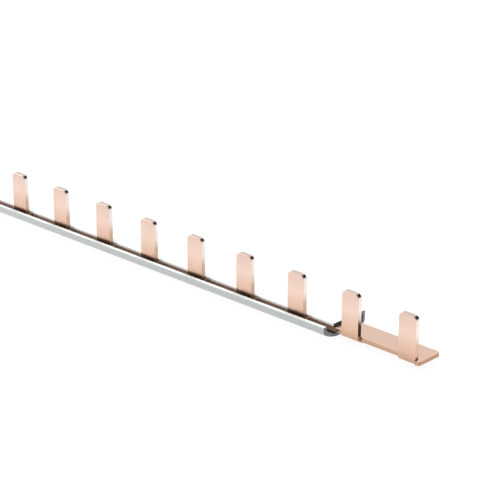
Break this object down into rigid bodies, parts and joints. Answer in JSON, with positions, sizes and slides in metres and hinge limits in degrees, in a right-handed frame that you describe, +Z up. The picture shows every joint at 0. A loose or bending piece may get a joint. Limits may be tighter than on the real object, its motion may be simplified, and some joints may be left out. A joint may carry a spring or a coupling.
{
  "type": "comb bus bar",
  "caption": "Comb bus bar: a folded copper strip with a row of upright tongues that feeds modular circuit devices side by side, seated in a grey insulating profile.",
  "frame": {"origin": "under the middle of the bar, on the plane that the profile rests on", "axes": "+X along the bar towards its bare copper end, -Y towards the front where the tongues stand, +Z up along the tongues"},
  "size_m": [0.2032, 0.0154, 0.0143],
  "materials": {
    "copper": "bright",
    "insulation": "satin"
  },
  "bodies": {
    "root": {"copper_comb": "copper", "insulating_profile": "insulation"}
  },
  "joints": []
}
